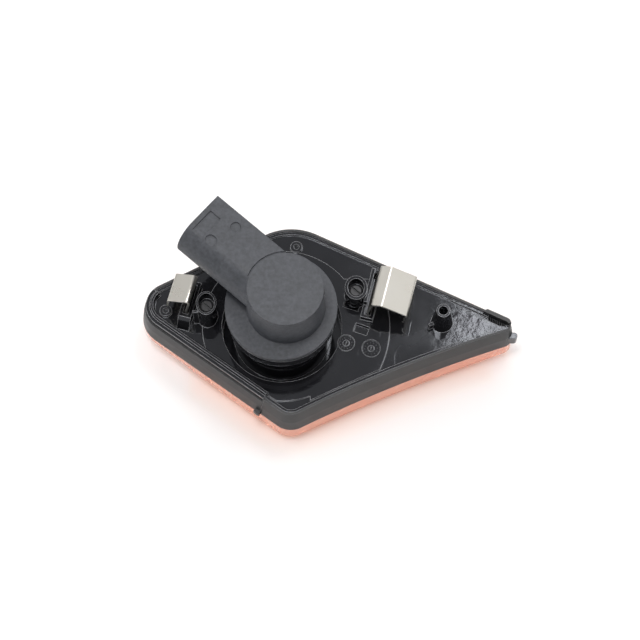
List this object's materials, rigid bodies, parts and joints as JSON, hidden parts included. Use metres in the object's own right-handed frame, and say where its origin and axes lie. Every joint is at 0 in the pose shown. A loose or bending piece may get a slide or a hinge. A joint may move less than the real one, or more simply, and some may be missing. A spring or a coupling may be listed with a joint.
{
  "type": "side repeater lamp",
  "caption": "Kite-shaped side indicator lamp: amber domed lens, black rear housing, rubber gasket, spring clips and a twist-lock bulb holder with a connector arm.",
  "frame": {"origin": "on the bulb holder's axis, level with the housing's back face", "axes": "+Z along the holder's axis, out of the lamp's back; +X along the lamp's length, towards its pointed tip; +Y towards the long far edge"},
  "size_m": [0.1069, 0.0585, 0.047],
  "materials": {
    "housing": "glossy moulded black",
    "lens": "clear amber acrylic, fluted inside",
    "reflector": "bright metallised plastic",
    "gasket": "matt black rubber",
    "holder": "fine-grained dark grey plastic",
    "seal": "matt black rubber",
    "bulb": "clear glass",
    "contact": "bright stamped strip",
    "clip": "rolled stainless spring strip",
    "screw": "dark oxidised steel"
  },
  "bodies": {
    "lamp_body": {"rear_housing": "housing", "lens": "lens", "reflector": "reflector", "gasket_front": "gasket", "gasket_rear": "gasket", "clip_left": "clip", "clip_right": "clip", "screw_left": "screw", "screw_middle": "screw"},
    "holder": {"bulb_holder": "holder", "holder_seal": "seal", "bulb": "bulb", "contact_left": "contact", "contact_right": "contact"}
  },
  "joints": [
    {"name": "holder_twist", "type": "hinge", "parent": "lamp_body", "child": "holder", "pos_m": [0, 0, 0.0142], "axis": [0, 0, 1], "range_deg": [0, 42]}
  ]
}
